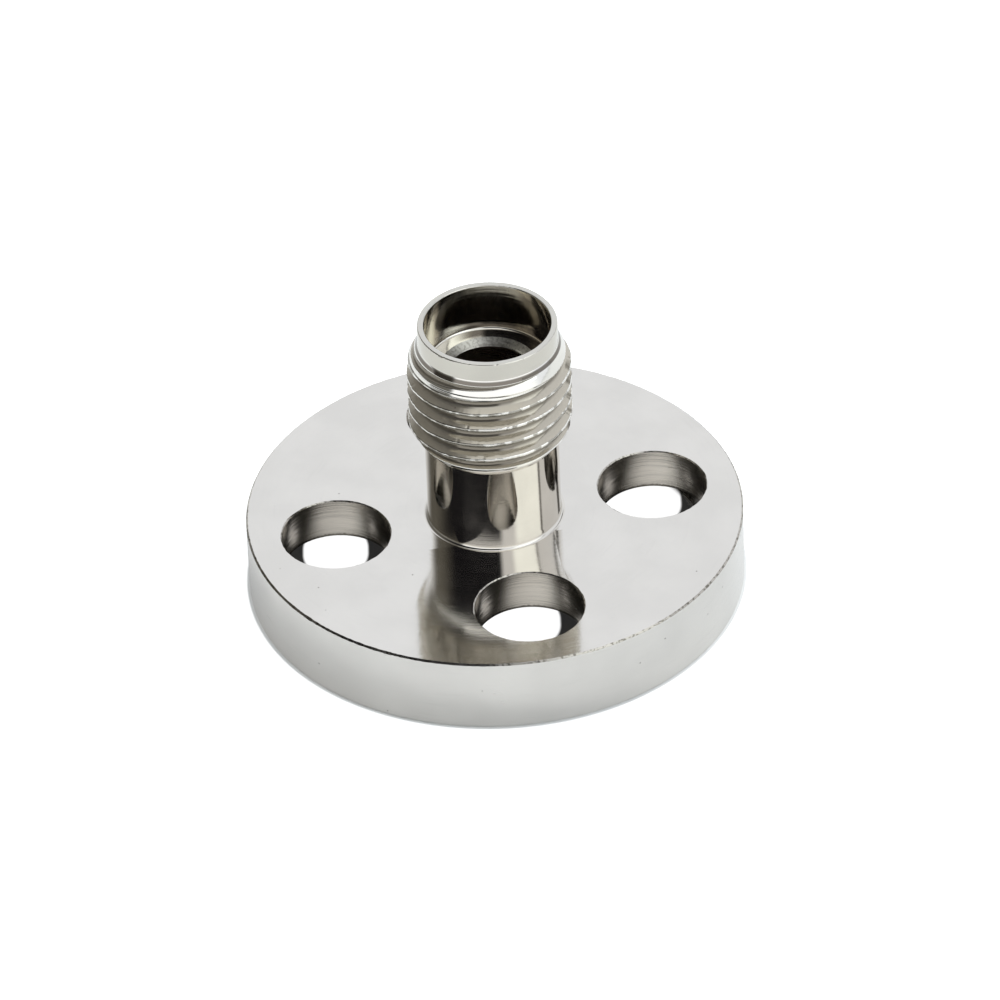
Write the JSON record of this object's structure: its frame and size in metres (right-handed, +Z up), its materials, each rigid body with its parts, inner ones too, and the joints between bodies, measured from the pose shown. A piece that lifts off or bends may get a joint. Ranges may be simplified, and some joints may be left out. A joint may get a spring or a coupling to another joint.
{
  "type": "fiber optic connector receptacle body",
  "caption": "Turned fibre optic receptacle body: round flange with plain fixing holes, barrel, threaded collar, thin rim and a stepped bore for a ferrule.",
  "frame": {"origin": "on the axis of the bore, in the plane the flange stands on", "axes": "+Z up the bore, towards the threaded end; two of the fixing holes lie on the X axis and two on the Y axis"},
  "size_m": [0.019, 0.019, 0.0118],
  "materials": {
    "nickel_plate": "bright nickel plate over turned brass"
  },
  "bodies": {
    "root": {"receptacle_body": "nickel_plate"}
  },
  "joints": []
}
